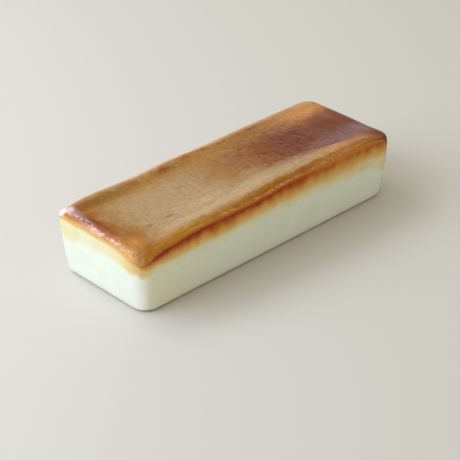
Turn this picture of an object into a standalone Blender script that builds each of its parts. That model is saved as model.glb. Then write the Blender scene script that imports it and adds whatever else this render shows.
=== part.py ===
"""A whole baked cheesecake bar, turned out of a tapered loaf tin, as one closed solid.

Metres, +Z up. The long way lies along X and the flat underside on Z = 0, with the
origin in the middle below. The front is the -Y side, the near end is the -X side.

The solid is one section swept round the plan. From the underside out and up, the
section is: flat base, rounded base edge, leaning wall, small groove, the proud lower
edge of the browned skin, rounded shoulder, crest of the rim, and the slope down into
the dished top. Baking left the rim uneven, so its sizes are named at stations round
the plan and run smoothly from each station to the next.
"""

import math

import bmesh
import bpy
from mathutils import Vector, noise

MM = 0.001

# Plan of the base, as if its lower edge were sharp.
BASE_LENGTH = 187.5 * MM
BASE_WIDTH = 66.0 * MM
BASE_EDGE_RADIUS = 2.5 * MM
CORNER_RADII = {  # vertical corners, all a little different, as the tin left them
    "front_near": 9.0 * MM,
    "front_far": 11.0 * MM,
    "back_far": 7.0 * MM,
    "back_near": 4.0 * MM,
}

# Walls lean out from the base and come upright towards the skin.
WALL_LEAN = 0.102
UPRIGHT_FROM = 12.0 * MM
UPRIGHT_SPAN = 26.0 * MM
UPRIGHT_DEPTH = 1.3 * MM
FRONT_BULGE = 0.9 * MM  # the front wall swells outwards under the skin
FRONT_BULGE_AT = 30.0 * MM
FRONT_BULGE_REACH = 48.0 * MM

# Lower edge of the browned skin.
GROOVE_DEPTH = 0.35 * MM
GROOVE_BELOW_LIP = 0.9 * MM
LIP_PROUD = 0.55 * MM

# Dished top inside the rim.
DISH_LEVEL = 38.0 * MM
DISH_NEAR_DROP = 0.7 * MM
DISH_FRONT_RISE = 0.035  # the dish tilts up towards the front, as its rim does
DISH_RING_INSET = 25.0 * MM
DISH_CORNER_GROWTH = 0.25  # how fast the plan corners get rounder inwards
UNEVENNESS = 0.30 * MM
UNEVENNESS_SPAN = 17.0 * MM

# Stations round the rim: side, place along it, height of the skin's lower edge, rise
# from there to the crest, inset of the crest, and run of the slope into the dish.
RIM_STATIONS = (
    ("front", -93, 31.8, 4.6, 8.2, 8.5),
    ("front", -84, 35.2, 3.1, 8.2, 9.0),
    ("front", -76, 37.4, 2.3, 7.6, 9.0),
    ("front", -66, 39.9, 1.4, 6.8, 9.0),
    ("front", -55, 40.9, 1.0, 6.2, 9.0),
    ("front", -36, 40.8, 1.0, 6.0, 10.0),
    ("front", -10, 40.8, 1.1, 6.5, 12.0),
    ("front", 6, 42.1, 0.9, 7.4, 13.0),
    ("front", 28, 42.8, 0.9, 8.0, 14.0),
    ("front", 50, 41.9, 1.3, 8.0, 13.0),
    ("front", 70, 41.4, 1.4, 7.2, 11.0),
    ("front", 81, 38.8, 2.4, 4.8, 10.0),
    ("front", 91, 33.4, 5.0, 1.0, 11.0),
    ("far", -30, 33.2, 5.0, 1.0, 10.0),
    ("far", -15, 35.0, 2.9, 3.2, 9.0),
    ("far", 1, 35.6, 2.2, 4.0, 9.0),
    ("far", 27, 35.1, 2.0, 4.0, 8.0),
    ("back", 90, 34.8, 1.9, 3.6, 8.0),
    ("back", 44, 35.6, 2.1, 3.2, 9.0),
    ("back", 13, 36.0, 2.1, 3.2, 9.0),
    ("back", -19, 37.2, 2.1, 3.2, 9.0),
    ("back", -40, 36.7, 2.1, 3.2, 9.0),
    ("back", -75, 37.9, 2.3, 3.4, 8.0),
    ("back", -90, 36.6, 2.3, 3.6, 6.0),
    ("near", 27, 36.9, 2.2, 3.8, 6.0),
    ("near", 17, 37.7, 1.7, 4.0, 6.0),
    ("near", 7, 36.8, 2.3, 4.0, 6.0),
    ("near", -8, 37.2, 2.2, 4.0, 6.0),
    ("near", -15, 37.2, 2.0, 4.6, 6.0),
    ("near", -22, 35.8, 2.7, 6.0, 7.6),
    ("near", -30, 33.7, 3.7, 7.4, 8.2),
)

# How finely the surface is divided.
STEPS_ALONG_SIDE = 26
STEPS_ALONG_END = 9
STEPS_ROUND_CORNER = 6
STEPS_BASE_EDGE = 3
STEPS_WALL = 4
STEPS_SHOULDER = 4
STEPS_DISH_SLOPE = 5

CREAM = (0.86, 0.82, 0.62, 1.0)
BROWNED = (0.47, 0.25, 0.09, 1.0)


def wall_run(height):
    """How far the wall has leaned out from the base plan at a height."""
    upright = max(0.0, height - UPRIGHT_FROM) / UPRIGHT_SPAN
    return WALL_LEAN * height - UPRIGHT_DEPTH * upright**2


def front_bulge(x, y, height):
    """Extra swell of the front wall, strongest just under the skin."""
    if y >= 0:
        return 0.0
    along = math.exp(-(((x - FRONT_BULGE_AT) / FRONT_BULGE_REACH) ** 2))
    return FRONT_BULGE * along * min(1.0, height / DISH_LEVEL) ** 2


def plan_corners(offset):
    """Middle and radius of the four corner arcs of the plan grown outwards by offset."""
    half_x = BASE_LENGTH / 2 + offset
    half_y = BASE_WIDTH / 2 + offset
    signs = {
        "front_near": (-1, -1),
        "front_far": (1, -1),
        "back_far": (1, 1),
        "back_near": (-1, 1),
    }
    corners = []
    for name, (sign_x, sign_y) in signs.items():
        growth = DISH_CORNER_GROWTH * max(0.0, -offset)
        radius = min(CORNER_RADII[name] + growth, 0.9 * half_y)
        middle = Vector((sign_x * (half_x - radius), sign_y * (half_y - radius)))
        corners.append((middle, radius))
    return corners


def plan_ring(offset):
    """Points of the plan grown by offset, anticlockwise from the front near corner."""
    corners = plan_corners(offset)
    points = []
    for index, (middle, radius) in enumerate(corners):
        following, following_radius = corners[(index + 1) % 4]
        start = math.radians(180 + 90 * index)
        for step in range(STEPS_ROUND_CORNER):
            angle = start + math.radians(90) * step / STEPS_ROUND_CORNER
            points.append(middle + radius * Vector((math.cos(angle), math.sin(angle))))
        outward = Vector((math.cos(start + math.radians(90)), math.sin(start + math.radians(90))))
        first = middle + radius * outward
        last = following + following_radius * outward
        steps = STEPS_ALONG_END if index % 2 else STEPS_ALONG_SIDE
        points += [first.lerp(last, step / steps) for step in range(steps)]
    return points


def station_place(side, along):
    """Place round the plan from 0 to 4: one unit for each side, corner to corner."""
    half = (BASE_WIDTH if side in ("far", "near") else BASE_LENGTH) / 2
    share = 0.5 + along * MM / (2 * half)
    return {"front": share, "far": 1 + share, "back": 3 - share, "near": 4 - share}[side]


def ring_places():
    """Place round the plan of each point of a ring."""
    lengths = (BASE_LENGTH, BASE_WIDTH, BASE_LENGTH, BASE_WIDTH)
    radii = list(CORNER_RADII.values())
    places = []
    for index, length in enumerate(lengths):
        share_before = radii[index] / lengths[index - 1]
        share_after = radii[index] / length
        for step in range(STEPS_ROUND_CORNER):
            turned = 2 * step / STEPS_ROUND_CORNER - 1
            places.append(index + turned * (share_before if turned < 0 else share_after))
        straight_from = index + share_after
        straight_to = index + 1 - radii[(index + 1) % 4] / length
        steps = STEPS_ALONG_END if index % 2 else STEPS_ALONG_SIDE
        straight = (straight_to - straight_from) / steps
        places += [straight_from + straight * step for step in range(steps)]
    return [place % 4 for place in places]


def rim_at(place):
    """Sizes of the rim at a place round the plan, on a smooth closed curve."""
    stations = sorted((station_place(*row[:2]), row[2:]) for row in RIM_STATIONS)
    count = len(stations)
    after = next((i for i, (at, _) in enumerate(stations) if at > place), 0)
    around = [stations[(after + step) % count] for step in (-2, -1, 0, 1)]
    knots = [at for at, _ in around]
    for i in range(1, 4):
        while knots[i] <= knots[i - 1]:
            knots[i] += 4
    if place < knots[1] - 1e-9:
        place += 4
    t = (place - knots[1]) / (knots[2] - knots[1])
    sizes = []
    for column in range(len(around[0][1])):
        before, start, end, beyond = (sizes_there[column] for _, sizes_there in around)
        span = knots[2] - knots[1]
        leave = span * (end - before) / (knots[2] - knots[0])
        arrive = span * (beyond - start) / (knots[3] - knots[1])
        sizes.append(
            (2 * t**3 - 3 * t**2 + 1) * start
            + (t**3 - 2 * t**2 + t) * leave
            + (3 * t**2 - 2 * t**3) * end
            + (t**3 - t**2) * arrive
        )
    return [size * MM for size in sizes]


def unevenness(x, y):
    """Gentle hills and hollows of a baked top."""
    place = Vector((x, y, 0.0)) / UNEVENNESS_SPAN
    return UNEVENNESS * noise.noise(place)


def dish_height(x, y):
    """Height of the dished top, inside the rim."""
    toward_near = max(0.0, -x / (BASE_LENGTH / 2))
    return DISH_LEVEL - DISH_NEAR_DROP * toward_near - DISH_FRONT_RISE * y + unevenness(x, y)


def section(lip, rise, crest_inset, slope_run):
    """Outward offset, height and share of dish of each point of the section, base first."""
    points = [(-BASE_EDGE_RADIUS, 0.0, 0.0)]
    for step in range(1, STEPS_BASE_EDGE + 1):
        angle = math.radians(90) * step / STEPS_BASE_EDGE
        height = BASE_EDGE_RADIUS * (1 - math.cos(angle))
        inset = BASE_EDGE_RADIUS * (1 - math.sin(angle))
        points.append((wall_run(height) - inset, height, 0.0))
    wall_top = lip - 2 * GROOVE_BELOW_LIP
    for step in range(1, STEPS_WALL + 1):
        height = BASE_EDGE_RADIUS + (wall_top - BASE_EDGE_RADIUS) * step / STEPS_WALL
        points.append((wall_run(height), height, 0.0))
    edge = wall_run(lip)
    points.append((edge - GROOVE_DEPTH, lip - GROOVE_BELOW_LIP, 0.0))
    points.append((edge + 0.6 * LIP_PROUD, lip - 0.3 * GROOVE_BELOW_LIP, 0.0))
    for step in range(STEPS_SHOULDER + 1):
        angle = math.radians(90) * step / STEPS_SHOULDER
        inward = (LIP_PROUD + crest_inset) * (1 - math.cos(angle))
        points.append((edge + LIP_PROUD - inward, lip + rise * math.sin(angle), 0.0))
    for step in range(1, STEPS_DISH_SLOPE + 1):
        share = step / STEPS_DISH_SLOPE
        dish_share = (1 - math.cos(math.pi * share)) / 2
        points.append((edge - crest_inset - slope_run * share, lip + rise, dish_share))
    foot = crest_inset + slope_run
    points.append((edge - (foot + DISH_RING_INSET) / 2, lip + rise, 1.0))
    points.append((edge - DISH_RING_INSET, lip + rise, 1.0))
    return points


def surface_rings():
    """All the rings of the sweep, base first, as lists of points."""
    sections = [section(*rim_at(place)) for place in ring_places()]
    rings = []
    for level in range(len(sections[0])):
        ring = []
        for index, points in enumerate(sections):
            offset, height, dish_share = points[level]
            x, y = plan_ring(offset)[index]
            if dish_share:
                height += dish_share * (dish_height(x, y) - height)
            elif height > 0:
                y -= front_bulge(x, y, height)
            ring.append(Vector((x, y, height)))
        rings.append(ring)
    return rings


def dish_grid(ring):
    """Rows of points that fill the innermost ring, front row first."""
    columns = STEPS_ALONG_SIDE + STEPS_ROUND_CORNER
    rows = STEPS_ALONG_END + STEPS_ROUND_CORNER
    count = len(ring)
    start = STEPS_ROUND_CORNER // 2
    front = [ring[(start + i) % count] for i in range(columns + 1)]
    far = [ring[(start + columns + j) % count] for j in range(rows + 1)]
    back = [ring[(start + 2 * columns + rows - i) % count] for i in range(columns + 1)]
    near = [ring[(start - j) % count] for j in range(rows + 1)]
    grid = [front]
    for j in range(1, rows):
        v = j / rows
        row = [near[j]]
        for i in range(1, columns):
            u = i / columns
            point = (
                front[i] * (1 - v) + back[i] * v + near[j] * (1 - u) + far[j] * u
                - front[0] * (1 - u) * (1 - v) - front[columns] * u * (1 - v)
                - back[0] * (1 - u) * v - back[columns] * u * v
            )
            row.append(Vector((point.x, point.y, dish_height(point.x, point.y))))
        row.append(far[j])
        grid.append(row)
    grid.append(back)
    return grid


def principled(name, colour, roughness):
    """A plain material of one colour."""
    material = bpy.data.materials.new(name)
    material.use_nodes = True
    shader = material.node_tree.nodes["Principled BSDF"]
    shader.inputs["Base Color"].default_value = colour
    shader.inputs["Roughness"].default_value = roughness
    shader.inputs["Metallic"].default_value = 0.0
    material.diffuse_color = colour
    return material


def centre_over_origin(mesh_builder):
    """Move the mesh level, so that its box is centred on the Z axis."""
    for axis in (0, 1):
        places = [vert.co[axis] for vert in mesh_builder.verts]
        middle = (min(places) + max(places)) / 2
        for vert in mesh_builder.verts:
            vert.co[axis] -= middle


def cheesecake():
    """Build the bar: swept rings, flat underside, and the grid that closes the dish."""
    rings = surface_rings()
    mesh_builder = bmesh.new()
    rows = [[mesh_builder.verts.new(point) for point in ring] for ring in rings]
    count = len(rows[0])
    skin_from = 1 + STEPS_BASE_EDGE + STEPS_WALL
    for level, (lower, upper) in enumerate(zip(rows, rows[1:])):
        for i in range(count):
            j = (i + 1) % count
            face = mesh_builder.faces.new((lower[i], lower[j], upper[j], upper[i]))
            face.material_index = 1 if level >= skin_from else 0
    mesh_builder.faces.new(list(reversed(rows[0])))
    known = {tuple(point): vert for point, vert in zip(rings[-1], rows[-1])}
    grid = dish_grid(rings[-1])
    verts = [[known.get(tuple(p)) or mesh_builder.verts.new(p) for p in row] for row in grid]
    for lower, upper in zip(verts, verts[1:]):
        for i in range(len(lower) - 1):
            face = mesh_builder.faces.new((lower[i], lower[i + 1], upper[i + 1], upper[i]))
            face.material_index = 1
    centre_over_origin(mesh_builder)
    mesh = bpy.data.meshes.new("cheesecake")
    mesh_builder.to_mesh(mesh)
    mesh_builder.free()
    mesh.materials.append(principled("baked_cream", CREAM, 0.45))
    mesh.materials.append(principled("browned_skin", BROWNED, 0.35))
    mesh.shade_smooth()
    mesh.set_sharp_from_angle(angle=math.radians(50))
    bar = bpy.data.objects.new("cheesecake", mesh)
    bpy.context.scene.collection.objects.link(bar)
    return bar


for old in list(bpy.data.objects):
    bpy.data.objects.remove(old, do_unlink=True)
cheesecake()
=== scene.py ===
"""Looks of a whole baked cheesecake bar, turned out of a tapered loaf tin.

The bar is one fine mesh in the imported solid's form: pale leaning walls stained brown
below the skin, and a glossy browned skin with an uneven raised rim and a dished middle.
Metres, +Z up, the long way along X. The front is the -Y side, the near end the -X side.
"""

import logging
import math
from dataclasses import astuple, dataclass, field
from enum import Enum
from functools import cache

import bpy
from mathutils import Matrix, Vector, noise


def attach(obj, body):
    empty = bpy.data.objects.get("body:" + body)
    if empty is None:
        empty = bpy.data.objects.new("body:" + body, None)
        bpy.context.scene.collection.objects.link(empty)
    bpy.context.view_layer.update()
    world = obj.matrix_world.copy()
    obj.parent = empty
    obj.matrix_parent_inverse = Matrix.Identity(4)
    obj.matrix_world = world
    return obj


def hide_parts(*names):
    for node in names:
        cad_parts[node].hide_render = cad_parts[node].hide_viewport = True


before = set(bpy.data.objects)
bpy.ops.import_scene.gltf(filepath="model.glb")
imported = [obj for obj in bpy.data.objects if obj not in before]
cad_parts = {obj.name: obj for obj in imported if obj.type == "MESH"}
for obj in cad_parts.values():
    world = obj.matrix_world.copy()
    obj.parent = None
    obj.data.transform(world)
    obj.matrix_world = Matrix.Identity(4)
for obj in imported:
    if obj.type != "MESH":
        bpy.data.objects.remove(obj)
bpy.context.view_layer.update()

MM = 0.001
LOG = logging.getLogger("cheesecake")
IN_DISH = 3.0  # the rim share of the middle of the dish
FLAT = (1.0, 1.0, 0.0)  # scales a place down to the plan
ORIGIN = (0.0, 0.0, 0.0)
PATCH_FADES = (0.15, 1.0)  # shares of a patch's reach between which it fades out

Range = tuple[float, float]
Colour = tuple[float, float, float, float]
Socket = bpy.types.NodeSocket
Given = Socket | float | tuple[float, ...]


class Side(Enum):
    """Sides of the plan, in the order in which a ring runs round it."""

    FRONT = 0
    FAR = 1
    BACK = 2
    NEAR = 3


class Mask(Enum):
    """Values that the mesh carries for its finishes, one number a vertex."""

    RIM_SHARE = "rim_share"  # 0 at the skin's edge, 1 at the crest, 2 at the foot, 3 in the dish
    BAKE = "wall_bake"  # how deep the wall's stain is, from 0 to 1
    CREASE = "skin_crease"  # 1 in the bottom of a wrinkle
    FRONT = "front_side"  # 1 where the rim or wall faces the front
    FAR = "far_end"
    BACK = "back_side"
    NEAR = "near_end"


class Tone(Enum):
    """Tones of the baking, and of painted highlights and sheen, as display colours in round numbers."""

    UMBER = (110, 45, 15)
    MAHOGANY = (125, 60, 20)
    RUSSET = (135, 70, 10)
    CHESTNUT = (145, 85, 15)
    COCOA = (150, 105, 65)
    AMBER = (150, 100, 45)
    OCHRE = (160, 110, 25)
    CARAMEL = (160, 115, 55)
    GINGER = (175, 115, 50)
    GOLD = (185, 125, 65)
    TAUPE = (165, 135, 95)
    SAND = (175, 145, 105)
    BISCUIT = (185, 135, 95)
    PEACH = (210, 160, 105)
    BLUSH = (210, 165, 130)
    MAUVE = (150, 85, 60)
    # painted sheen colour
    LILAC = (180, 140, 140)
    # painted highlight colours, down to the grey one
    WET_CREAM = (235, 195, 155)
    WET_ROSE = (240, 210, 210)
    WET_GREY = (210, 185, 190)
    CURD = (230, 235, 220)
    IVORY = (230, 220, 175)
    STRAW = (225, 190, 125)
    HONEY = (215, 165, 85)
    TOFFEE = (205, 140, 60)
    RUST = (190, 105, 30)
    COPPER = (170, 75, 10)
    BRICK = (155, 50, 5)


Stop = tuple[float, Tone]  # a place or level, and the tone there


def smooth(low: float, high: float, value: float) -> float:
    """Smooth step from 0 at low to 1 at high."""
    share = min(1.0, max(0.0, (value - low) / (high - low)))
    return share * share * (3 - 2 * share)


def shares(steps: int) -> list[float]:
    """Equal steps up to 1, without the 0."""
    return [step / steps for step in range(1, steps + 1)]


def direction(heading: float, elevation: float) -> Vector:
    """Unit vector of a heading and an elevation, in degrees."""
    turn, lift = math.radians(heading), math.radians(elevation)
    return Vector((math.cos(turn) * math.cos(lift), math.sin(turn) * math.cos(lift), math.sin(lift)))


def linear(value: int) -> float:
    """Linear light of one channel of a display colour, given from 0 to 255."""
    share = value / 255
    return share / 12.92 if share <= 0.04045 else ((share + 0.055) / 1.055) ** 2.4


def srgb(red: int, green: int, blue: int) -> Colour:
    """Linear colour of a display colour given from 0 to 255."""
    return (linear(red), linear(green), linear(blue), 1.0)


# ---------------------------------------------------------------- shape


@dataclass(frozen=True)
class Unevenness:
    """Noise over the bar: its strength, the width of its features in mm, and how it is read."""

    strength: float
    span: float
    level: float = 0.0
    stretch: tuple[float, float, float] = (1.0, 1.0, 1.0)

    def at(self, x: float, y: float, z: float = 0.0) -> float:
        """Value at a place in mm, from -strength to strength."""
        place = Vector((self.stretch[0] * x, self.stretch[1] * y, self.stretch[2] * z + self.level))
        return self.strength * noise.noise(place / self.span)


def summed(layers: tuple[Unevenness, ...], x: float, y: float, z: float = 0.0) -> float:
    """Sum of layers of noise at a place in mm."""
    return sum(layer.at(x, y, z) for layer in layers)


@dataclass(frozen=True)
class Station:
    """A place round the plan, in mm along its side, with the sizes that hold there."""

    side: Side
    along: float

    def sizes(self) -> tuple[float, ...]:
        """The sizes that run smoothly from station to station."""
        return astuple(self)[2:]


@dataclass(frozen=True)
class RimStation(Station):
    """Sizes of the rim in mm: the lip's height, the rise to the crest, the crest's and slope's runs."""

    lip: float
    rise: float
    crest_inset: float
    slope_run: float


@dataclass(frozen=True)
class StainStation(Station):
    """Browning of the wall: levels from 0 to 1, depths below the skin in mm."""

    peak: float
    peak_depth: float
    crust_reach: float
    tint: float
    tint_reach: float


RIM_STATIONS = (
    RimStation(Side.FRONT, -93, 31.8, 6.0, 11.0, 6.5),
    RimStation(Side.FRONT, -84, 35.2, 3.1, 8.2, 9.0),
    RimStation(Side.FRONT, -76, 37.4, 2.3, 7.6, 9.0),
    RimStation(Side.FRONT, -66, 39.9, 1.4, 6.8, 9.0),
    RimStation(Side.FRONT, -55, 40.9, 1.0, 6.2, 9.0),
    RimStation(Side.FRONT, -36, 40.8, 1.0, 6.0, 10.0),
    RimStation(Side.FRONT, -10, 40.8, 1.1, 6.5, 12.0),
    RimStation(Side.FRONT, 6, 42.1, 0.9, 7.4, 13.0),
    RimStation(Side.FRONT, 28, 42.8, 0.9, 8.0, 14.0),
    RimStation(Side.FRONT, 50, 41.9, 1.3, 8.0, 13.0),
    RimStation(Side.FRONT, 70, 41.4, 1.4, 7.2, 11.0),
    RimStation(Side.FRONT, 81, 38.8, 2.4, 4.8, 10.0),
    RimStation(Side.FRONT, 91, 33.4, 5.0, 1.0, 11.0),
    RimStation(Side.FAR, -30, 33.2, 5.0, 1.0, 10.0),
    RimStation(Side.FAR, -15, 35.0, 2.9, 3.2, 9.0),
    RimStation(Side.FAR, 1, 35.6, 2.2, 4.0, 9.0),
    RimStation(Side.FAR, 27, 35.1, 2.0, 4.0, 8.0),
    RimStation(Side.BACK, 90, 34.8, 1.9, 3.6, 8.0),
    RimStation(Side.BACK, 44, 35.6, 2.1, 3.2, 9.0),
    RimStation(Side.BACK, 13, 36.0, 2.1, 3.2, 9.0),
    RimStation(Side.BACK, -19, 37.2, 2.1, 3.2, 9.0),
    RimStation(Side.BACK, -40, 36.7, 2.1, 3.2, 9.0),
    RimStation(Side.BACK, -75, 37.9, 2.3, 3.4, 8.0),
    RimStation(Side.BACK, -90, 36.6, 2.3, 3.6, 6.0),
    RimStation(Side.NEAR, 27, 36.9, 2.2, 3.8, 6.0),
    RimStation(Side.NEAR, 17, 37.1, 2.3, 4.0, 6.0),
    RimStation(Side.NEAR, 7, 36.8, 2.3, 4.0, 6.0),
    RimStation(Side.NEAR, -8, 37.2, 2.2, 4.0, 6.0),
    RimStation(Side.NEAR, -15, 37.2, 2.0, 4.6, 6.0),
    RimStation(Side.NEAR, -22, 35.8, 2.7, 6.0, 7.6),
    RimStation(Side.NEAR, -30, 33.7, 4.4, 8.6, 7.6),
)

STAIN_STATIONS = (
    StainStation(Side.FRONT, -90, 0.76, 0.6, 9.0, 0.26, 9.0),
    StainStation(Side.FRONT, -79, 1.24, 0.6, 11.8, 0.10, 12.5),
    StainStation(Side.FRONT, -70, 0.99, 2.4, 15.5, 0.08, 15.0),
    StainStation(Side.FRONT, -60, 1.06, 3.2, 16.5, 0.08, 15.0),
    StainStation(Side.FRONT, -45, 1.06, 3.2, 16.0, 0.06, 16.0),
    StainStation(Side.FRONT, -22, 0.99, 2.8, 15.5, 0.06, 16.0),
    StainStation(Side.FRONT, -5, 0.99, 2.6, 17.6, 0.08, 16.0),
    StainStation(Side.FRONT, 10, 0.96, 2.5, 19.2, 0.16, 17.0),
    StainStation(Side.FRONT, 25, 0.90, 3.4, 20.0, 0.12, 17.0),
    StainStation(Side.FRONT, 40, 0.78, 4.6, 19.0, 0.14, 17.0),
    StainStation(Side.FRONT, 55, 0.74, 3.2, 20.0, 0.18, 17.0),
    StainStation(Side.FRONT, 70, 0.77, 4.5, 18.5, 0.22, 18.0),
    StainStation(Side.FRONT, 80, 0.84, 1.8, 19.0, 0.14, 18.0),
    StainStation(Side.FRONT, 89, 0.70, 1.4, 13.0, 0.22, 18.0),
    StainStation(Side.FAR, -10, 0.76, 1.6, 15.0, 0.16, 16.0),
    StainStation(Side.FAR, 15, 0.76, 2.0, 17.0, 0.12, 15.0),
    StainStation(Side.BACK, 85, 0.80, 2.4, 18.0, 0.12, 17.0),
    StainStation(Side.BACK, 45, 0.86, 3.0, 19.0, 0.12, 17.0),
    StainStation(Side.BACK, 0, 0.94, 3.0, 17.5, 0.10, 16.0),
    StainStation(Side.BACK, -45, 0.88, 2.6, 16.0, 0.10, 15.0),
    StainStation(Side.BACK, -86, 0.54, 1.2, 11.0, 0.16, 13.5),
    StainStation(Side.NEAR, 29, 0.42, 0.5, 5.5, 0.16, 13.0),
    StainStation(Side.NEAR, 23, 0.42, 0.5, 5.0, 0.15, 13.5),
    StainStation(Side.NEAR, 18, 0.43, 0.6, 5.6, 0.145, 12.5),
    StainStation(Side.NEAR, 11, 0.37, 0.5, 4.0, 0.10, 10.5),
    StainStation(Side.NEAR, 0, 0.37, 0.5, 5.0, 0.14, 9.4),
    StainStation(Side.NEAR, -12, 0.42, 0.5, 6.0, 0.15, 10.0),
    StainStation(Side.NEAR, -18, 0.43, 0.8, 9.5, 0.20, 11.0),
    StainStation(Side.NEAR, -24, 0.43, 2.0, 16.0, 0.28, 11.8),
    StainStation(Side.NEAR, -29, 0.52, 1.6, 10.0, 0.28, 9.0),
    StainStation(Side.NEAR, -32, 0.62, 1.2, 8.0, 0.27, 9.2),
)


@dataclass
class BarPlan:
    """Rounded rectangle that the section is swept round, as if the base edge were sharp."""

    length: float = 187.5 * MM
    width: float = 66.0 * MM
    corner_radii: tuple[float, ...] = (9.0 * MM, 11.0 * MM, 7.0 * MM, 4.0 * MM)
    corner_tightening: tuple[float, ...] = (0.0, 0.95, 0.0, 0.0)
    dish_corner_growth: float = 0.25
    roundest: float = 0.9
    steps_side: int = 210
    steps_end: int = 78
    steps_corner: int = 16

    def steps(self, side: int) -> int:
        """Number of steps along a side."""
        return self.steps_end if side % 2 else self.steps_side

    def corners(self, offset: float) -> list[tuple[Vector, float]]:
        """Middles and radii of the corner arcs of the plan grown outwards.

        Args:
            offset: How far the plan is grown, in metres.

        Returns:
            Middle and radius for each corner, from the front near one.
        """
        half_x = self.length / 2 + offset
        half_y = self.width / 2 + offset
        growth = self.dish_corner_growth * max(0.0, -offset)
        signs = ((-1, -1), (1, -1), (1, 1), (-1, 1))
        corners = []
        for (sign_x, sign_y), base, tightening in zip(signs, self.corner_radii, self.corner_tightening):
            radius = min(base + growth - tightening * max(0.0, offset), self.roundest * half_y)
            corners.append((Vector((sign_x * (half_x - radius), sign_y * (half_y - radius))), radius))
        return corners

    def locate(self, index: int) -> tuple[int, float, float]:
        """Find a point of the ring.

        Args:
            index: Which point of the ring, anticlockwise from the front near corner.

        Returns:
            Its side, how far the corner before that side is turned there, and how far along
            the straight of the side it is, both from 0 to 1.
        """
        for side in range(4):
            if index < self.steps_corner:
                return side, index / self.steps_corner, 0.0
            index -= self.steps_corner
            if index < self.steps(side):
                return side, 1.0, index / self.steps(side)
            index -= self.steps(side)
        raise IndexError("no such point on the ring")

    def outward(self, index: int) -> Vector:
        """Direction straight out of the plan at a point of the ring."""
        side, turned, _ = self.locate(index)
        return direction(180 + 90 * (side + turned), 0).xy

    def point(self, index: int, offset: float) -> Vector:
        """Point of the grown plan.

        Args:
            index: Which point of the ring.
            offset: How far the plan is grown, in metres.

        Returns:
            The point in the plan, in metres.
        """
        side, _, along = self.locate(index)
        outward = self.outward(index)
        corners = self.corners(offset)
        around = (corners[side], corners[(side + 1) % 4])
        first, last = (middle + radius * outward for middle, radius in around)
        return first.lerp(last, along)

    def places(self) -> list[float]:
        """Place round the plan, from 0 to 4, of each point of a ring.

        Returns:
            The places: a whole number is a corner of the plan, from the front near one.
        """
        lengths = (self.length, self.width) * 2
        places = []
        for side, length in enumerate(lengths):
            share_before = self.corner_radii[side] / lengths[side - 1]
            share_after = self.corner_radii[side] / length
            for step in range(self.steps_corner):
                turned = 2 * step / self.steps_corner - 1
                places.append(side + turned * (share_before if turned < 0 else share_after))
            first = side + share_after
            last = side + 1 - self.corner_radii[(side + 1) % 4] / length
            steps = self.steps(side)
            places += [first + (last - first) * step / steps for step in range(steps)]
        return [place % 4 for place in places]

    def station_place(self, station: Station) -> float:
        """Place of a station round the plan.

        Args:
            station: The station.

        Returns:
            The place, from 0 to 4.
        """
        length = self.width if station.side in (Side.FAR, Side.NEAR) else self.length
        share = 0.5 + station.along * MM / length
        if station.side in (Side.BACK, Side.NEAR):
            share = 1 - share
        return station.side.value + share


class StationCurve:
    """Smooth closed curve through the sizes named at stations round the plan."""

    def __init__(self, plan: BarPlan, stations: tuple[Station, ...]) -> None:
        """Put the stations in order round the plan."""
        self.rows = sorted((plan.station_place(station), station.sizes()) for station in stations)

    def at(self, place: float) -> list[float]:
        """Sizes at a place round the plan.

        Args:
            place: Place from 0 to 4.

        Returns:
            One number for each size of a station.
        """
        count = len(self.rows)
        after = next((i for i, (at, _) in enumerate(self.rows) if at > place), 0)
        around = [self.rows[(after + step) % count] for step in (-2, -1, 0, 1)]
        knots = [at for at, _ in around]
        for i in range(1, 4):
            while knots[i] <= knots[i - 1]:
                knots[i] += 4
        if place < knots[1]:
            place += 4
        span = knots[2] - knots[1]
        t = (place - knots[1]) / span
        sizes = []
        for before, start, end, beyond in zip(*(row for _, row in around)):
            leave = span * (end - before) / (knots[2] - knots[0])
            arrive = span * (beyond - start) / (knots[3] - knots[1])
            sizes.append(
                (2 * t**3 - 3 * t**2 + 1) * start
                + (t**3 - 2 * t**2 + t) * leave
                + (3 * t**2 - 2 * t**3) * end
                + (t**3 - t**2) * arrive
            )
        return sizes


@dataclass
class SectionPoint:
    """One point of the section, in metres, with what its finish needs to know."""

    offset: float
    height: float
    rim_share: float = -1.0
    dish_share: float = 0.0


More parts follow.
